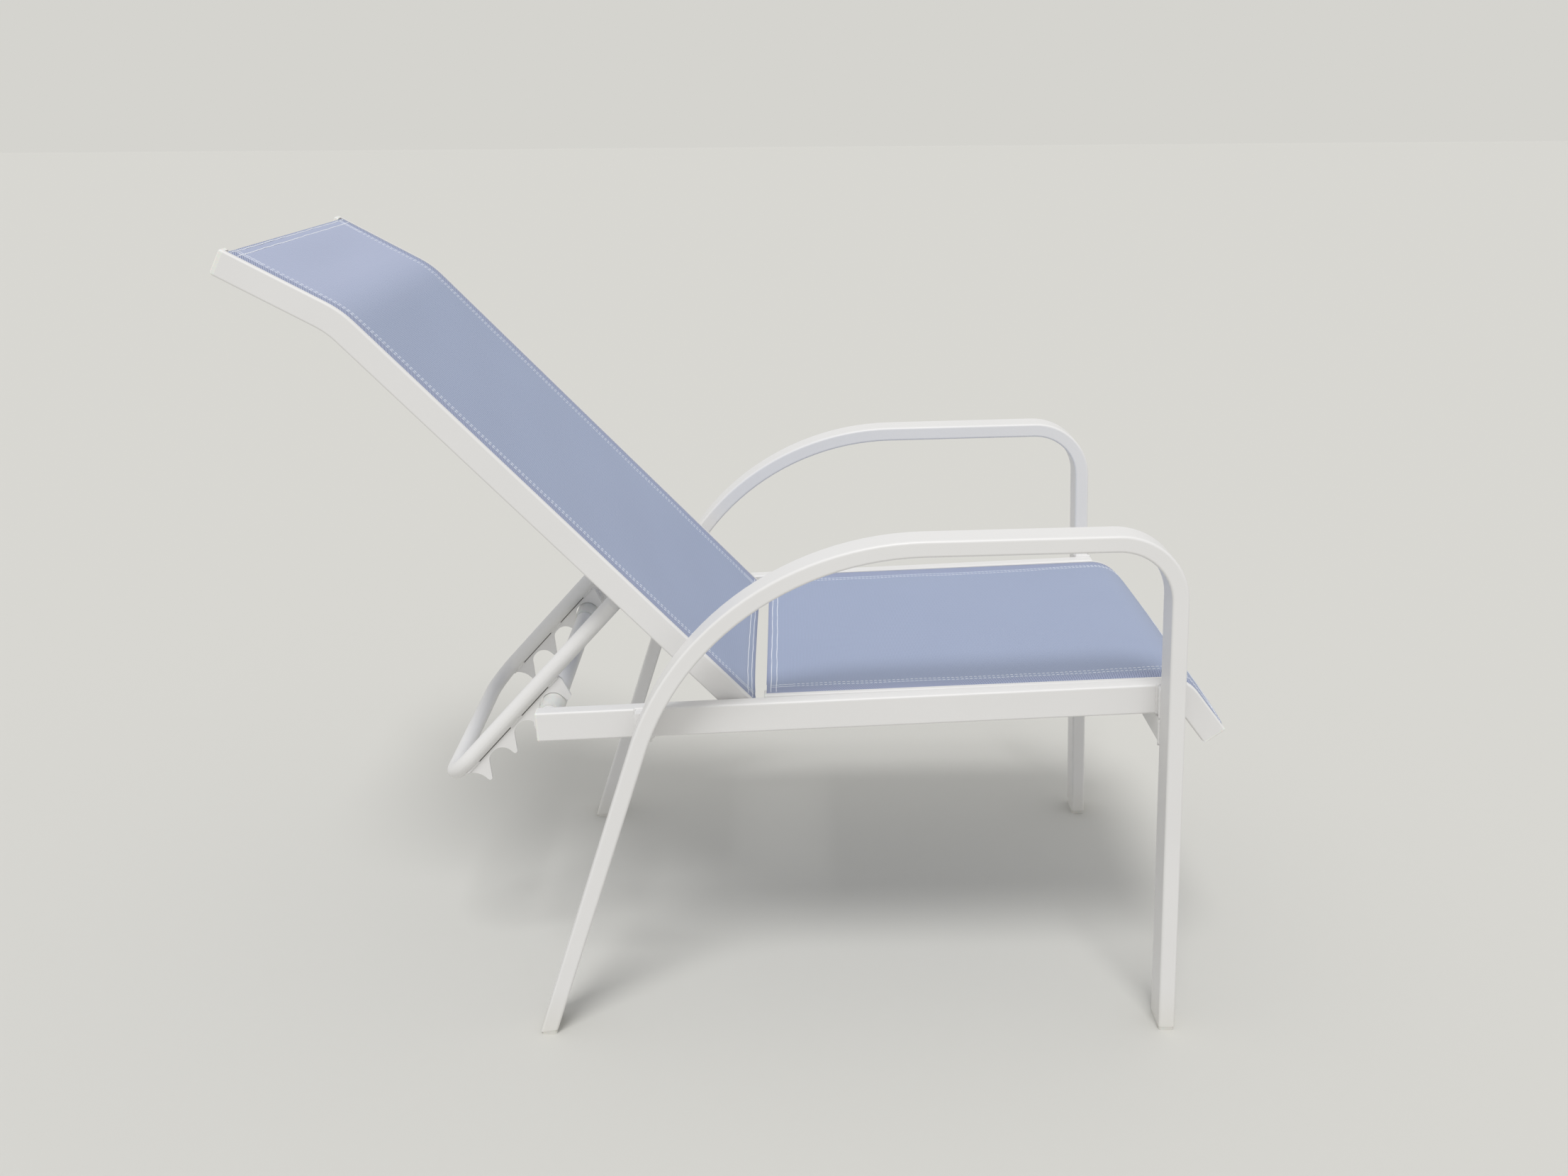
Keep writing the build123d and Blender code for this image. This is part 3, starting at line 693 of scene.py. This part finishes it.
# Both double rows along the sides: a stitch in the middle between two needle holes, on every row and side.
# At both ends a few more, half a pitch on, lock the seam. The wander is the product of two slow waves.
def makeSideStitches(name, sling):
    first, last = clothEnds(sling)
    pitch = sling["stitchPitch"]
    places = (np.arange(math.ceil(first / pitch), math.floor(last / pitch)) + 0.5) * pitch
    locks = stitch["locks"]
    places = np.concatenate([places, places[:locks] + pitch / 2, places[-locks - 1 : -1] + pitch / 2])
    rows = np.array([side * (sling["slot"] - row) for side in (-1, 1) for row in sling["sideRows"]])
    across, along = np.meshgrid(rows, places)
    long, short = stitch["sideWaves"]
    wander = stitch["wander"] * np.sin(along / long + across) * np.sin(along / short)
    return makeStitches(name, sling, (across + wander).ravel(), along.ravel(), True, stitch["long"])


# The rows along both ends, from lip to lip, with the slight wander of a hand-guided seam.
def makeEndStitches(name, sling):
    first, last = clothEnds(sling)
    reach = sling["slot"] - stitch["lipClear"]
    places = np.arange(-reach + stitch["hemPitch"] / 2, reach, stitch["hemPitch"])
    rows = [first + row for row in sling["startRows"]] + [last - row for row in sling["endRows"]]
    across, along = np.meshgrid(places, np.array(rows))
    long, short = stitch["endWaves"]
    wander = stitch["wander"] * np.sin(across / long + along) * np.sin(across / short + stitch["endShift"])
    return makeStitches(name, sling, across.ravel(), (along + wander).ravel(), False, stitch["hemLong"])


for label, sling in (("seat", seatSling), ("back", backSling)):
    sheet = makeSling(f"{label}Sling", sling)
    parts = [
        makeEndHem(f"{label}HemLow", sling, True),
        makeEndHem(f"{label}HemHigh", sling, False),
        makeSideStitches(f"{label}SideStitches", sling),
        makeEndStitches(f"{label}HemStitches", sling),
    ]
    print("sling:", label, "length", round(edgeLength(sling)))

# Welds, and the slits in the notch plates: places down the arm and across are from the bail's axle.
weld = {
    "radius": 1.9,
    "ripple": 0.14,
    "ripplePitch": 3.4,
    "ringPoints": 8,
    "loopSteps": 60,
    "linePoints": 13,
    "oblique": (0.577, 0.6, 0.555),
    "legInside": 264.0,
    "railOutside": 249.6,
    "railInside": 230.6,
    "barRadius": 12.5,
    "blockSize": (19.0, 36.0),
    "stretcherSize": (19.0, 30.0),
    "railLean": -2.45,
    "stretcherLean": -2.5,
    "armPlaces": ((151, 168), (219, 240), (302, 324)),
    "armAcross": (165.8, 170.2),
    "armOut": 9.8,
    "armHeading": 227.4,
    "slitPlaces": ((169, 218), (241, 301)),
    "slitAcross": (166.4, 169.6),
    "slitOut": 10.3,
    "slitRadius": 0.65,
}


# Middle of a CAD piece in the chair's middle plane: the mean of its box's corners.
def middleOf(node):
    corners = np.array([list(corner) for corner in frame["nodes"][node].bound_box])
    return corners.mean(0) * millimetresPerMetre * np.array([0, 1, 1])


# The outline of a rectangle that is turned by an angle in the middle plane, with as many steps on each side.
def outlineAt(across, middle, size, lean):
    turn = np.radians(lean)
    corners = np.array([(-1, -1), (-1, 1), (1, 1), (1, -1), (-1, -1)]) * np.array(size) / 2
    steps = np.linspace(0, 4, weld["loopSteps"] + 1)
    y, z = (np.interp(steps, range(5), corners[:, column]) for column in (0, 1))
    turnedY, turnedZ = y * np.cos(turn) - z * np.sin(turn), y * np.sin(turn) + z * np.cos(turn)
    return middle + np.stack([steps * 0, turnedY, turnedZ], -1) + np.array([across, 0, 0])


# Beads along the paths, whose radius ripples like the puddles of a hand-made weld. Each ring is a circle
# square to the path, in the plane of two vectors made by cross products.
def makeBeads(name, paths, body, finish=coat, radius=weld["radius"]):
    paths = np.array(paths)
    step = np.gradient(paths, axis=1)
    travelled = np.cumsum(np.linalg.norm(step, axis=-1), 1)
    way = step / np.linalg.norm(step, axis=-1, keepdims=True)
    first = np.cross(way, np.array(weld["oblique"]))
    first = first / np.linalg.norm(first, axis=-1, keepdims=True)
    second = np.cross(way, first)
    radius = radius * (1 + weld["ripple"] * np.sin(2 * np.pi * travelled / weld["ripplePitch"]))
    angle = np.radians(np.arange(weld["ringPoints"]) * 360 / weld["ringPoints"])
    circle = np.cos(angle)[:, None] * first[..., None, :] + np.sin(angle)[:, None] * second[..., None, :]
    rings = paths[..., None, :] + radius[..., None, None] * circle
    return makeSkins(name, rings, finish, body, creaseAngle=180)


# Lines along both arms of the bail: from start to end down the arm, at a distance out from its axis.
def alongArms(places, acrossPair, out):
    lines = []
    for start, end in places:
        down = np.linspace(start, end, weld["linePoints"])[:, None] * heading(weld["armHeading"])
        line = middleOf("bail_axle") + down + out * heading(weld["armHeading"] + 90)
        lines += [line + np.array([side * across, 0, 0]) for side in (-1, 1) for across in acrossPair]
    return lines


# Weld loops round the ends of the blocks, the stretcher and the crossbar. The rear blocks have none on the
# leg's side, where they stand out behind the leaning leg.
squares, circles = [], []
stretcher, crossbar = middleOf("front_stretcher"), middleOf("rear_crossbar")
around = weld["barRadius"] * heading(np.linspace(0, 360, weld["loopSteps"] + 1))
for side in (-1, 1):
    for end in ("front", "rear"):
        block = middleOf(f"left_{end}_rail_block")
        for across in (weld["legInside"], weld["railOutside"])[end == "rear" :]:
            squares.append(outlineAt(side * across, block, weld["blockSize"], weld["railLean"]))
    legEnd = side * weld["legInside"]
    squares.append(outlineAt(legEnd, stretcher, weld["stretcherSize"], weld["stretcherLean"]))
    circles.append(crossbar + around + np.array([side * weld["railInside"], 0, 0]))
seams = alongArms(weld["armPlaces"], weld["armAcross"], weld["armOut"])
makeBeads("frameWelds", squares + circles, "base")
makeBeads("notchPlateWelds", seams, "bail")
# Dark beads along the plates' slits: painted shade, standing in for the shadow inside each slit.
slits = alongArms(weld["slitPlaces"], weld["slitAcross"], weld["slitOut"])
makeBeads("notchPlateSlitShade", slits, "bail", slitShadeMaterial, weld["slitRadius"])

endPlate = {
    "size": (17.0, 34.0),
    "acrossBlock": (262.6, 263.9),
    "acrossRail": (231.6, 248.6),
    "inset": (0.3, 1.7),
    "halfRail": 369.2,
    "railHeading": 2.45,
}
# Thin plates that close the rear blocks beside the legs and the side rails in front: a rectangle's four
# corners at two places each, across for the block, and back from the rail's end for the rail.
block, rail = middleOf("left_rear_rail_block"), middleOf("left_side_rail")
forward = heading(endPlate["railHeading"])
tall = endPlate["size"][1] / 2 * heading(endPlate["railHeading"] + 90)
near, far = [np.array([across, 0, 0]) for across in endPlate["acrossRail"]]
quarter = weld["loopSteps"] // 4
corners = []
for side in (-1, 1):
    places = [side * across for across in endPlate["acrossBlock"]]
    loops = [outlineAt(across, block, endPlate["size"], weld["railLean"]) for across in places]
    corners.append([loop[: weld["loopSteps"] : quarter] for loop in loops])
    section = side * np.array([near, near, far, far]) + np.array([-tall, tall, tall, -tall])
    corners.append([rail + (endPlate["halfRail"] - inset) * forward + section for inset in endPlate["inset"]])
makeSkins("endPlates", np.array(corners), coat, "base")
print("welds:", len(squares) + len(circles) + len(seams))

# Camera: where the photograph was taken from, looking across the chair and down at it.
photoCamera = {
    "place": np.array([-1843.0, -48.8, 1080.0]),
    "down": 18.45,
    "aside": -0.10,
    "roll": 0.44,
    "focal": 2100.0,
    "photoWidth": 2212.0,
    "sensor": 36.0,
}


# The view direction from its two angles, the level vector beside it, and both turned by the roll.
def makeCamera():
    down, aside, roll = np.radians([photoCamera["down"], photoCamera["aside"], photoCamera["roll"]])
    forward = np.array([np.cos(down) * np.cos(aside), -np.cos(down) * np.sin(aside), -np.sin(down)])
    right = np.array([-np.sin(aside), -np.cos(aside), 0.0])
    lower = np.cross(forward, right)
    across = np.cos(roll) * right + np.sin(roll) * lower
    upward = np.sin(roll) * right - np.cos(roll) * lower
    data = bpy.data.cameras.new("photoCamera")
    data.sensor_width = photoCamera["sensor"]
    data.lens = photoCamera["focal"] / photoCamera["photoWidth"] * photoCamera["sensor"]
    camera = bpy.data.objects.new("photoCamera", data)
    turn = np.eye(4)
    turn[:3, 0], turn[:3, 1], turn[:3, 2] = across, upward, -forward
    turn[:3, 3] = photoCamera["place"] * metresPerMillimetre
    camera.matrix_world = Matrix(turn.tolist())
    bpy.context.scene.collection.objects.link(camera)
    bpy.context.scene.camera = camera


makeCamera()

studio = {
    "floorColour": "#d0cfca",
    "floorSize": 60000.0,
    "ambient": 0.67,
    "ambientColour": "#ffffff",
    "backdrop": "#d5d4cf",
    "lamps": (
        {"name": "softOverhead", "from": (-0.54, 0.05, 1.0), "spread": 20.0, "strength": 1.5},
        {"name": "softSide", "from": (-1.0, 0.1, 0.3), "spread": 60.0, "strength": 0.03},
    ),
}


# A plain floor, and a plain world that lights the object evenly but shows the backdrop's own colour.
def makeStudio():
    half = studio["floorSize"] / 2 * metresPerMillimetre
    data = bpy.data.meshes.new("floor")
    corners = [(-half, -half, 0), (half, -half, 0), (half, half, 0), (-half, half, 0)]
    data.from_pydata(corners, [], [(0, 1, 2, 3)])
    finish, tree, shader = newFinish("paleStudioFloor", {"Roughness": 0.9, "Specular IOR Level": 0.1})
    shader.inputs["Base Color"].default_value = linearColour(studio["floorColour"])
    data.materials.append(finish)
    floor = bpy.data.objects.new("floor", data)
    bpy.context.scene.collection.objects.link(floor)
    world = bpy.data.worlds.new("studio")
    bpy.context.scene.world = world
    world.use_nodes = True
    tree = world.node_tree
    lit = tree.nodes["Background"]
    lit.inputs["Color"].default_value = linearColour(studio["ambientColour"])
    lit.inputs["Strength"].default_value = studio["ambient"]
    seen = addNode(tree, "ShaderNodeBackground", values={"Color": linearColour(studio["backdrop"])})
    path = addNode(tree, "ShaderNodeLightPath").outputs
    glossy = addMath(tree, "MAXIMUM", path["Is Camera Ray"], path["Is Glossy Ray"])
    direct = addMath(tree, "MAXIMUM", glossy, path["Is Transmission Ray"])
    either = addNode(
        tree,
        "ShaderNodeMixShader",
        links={0: direct, 1: lit.outputs["Background"], 2: seen.outputs["Background"]},
    )
    tree.links.new(either.outputs["Shader"], tree.nodes["World Output"].inputs["Surface"])
    for lamp in studio["lamps"]:
        data = bpy.data.lights.new(lamp["name"], "SUN")
        data.angle = math.radians(lamp["spread"])
        data.energy = lamp["strength"]
        light = bpy.data.objects.new(lamp["name"], data)
        light.rotation_mode = "QUATERNION"
        light.rotation_quaternion = Vector(lamp["from"]).to_track_quat("Z", "Y")
        bpy.context.scene.collection.objects.link(light)


makeStudio()
bpy.context.scene.view_settings.view_transform = "Standard"
print("studio: made")
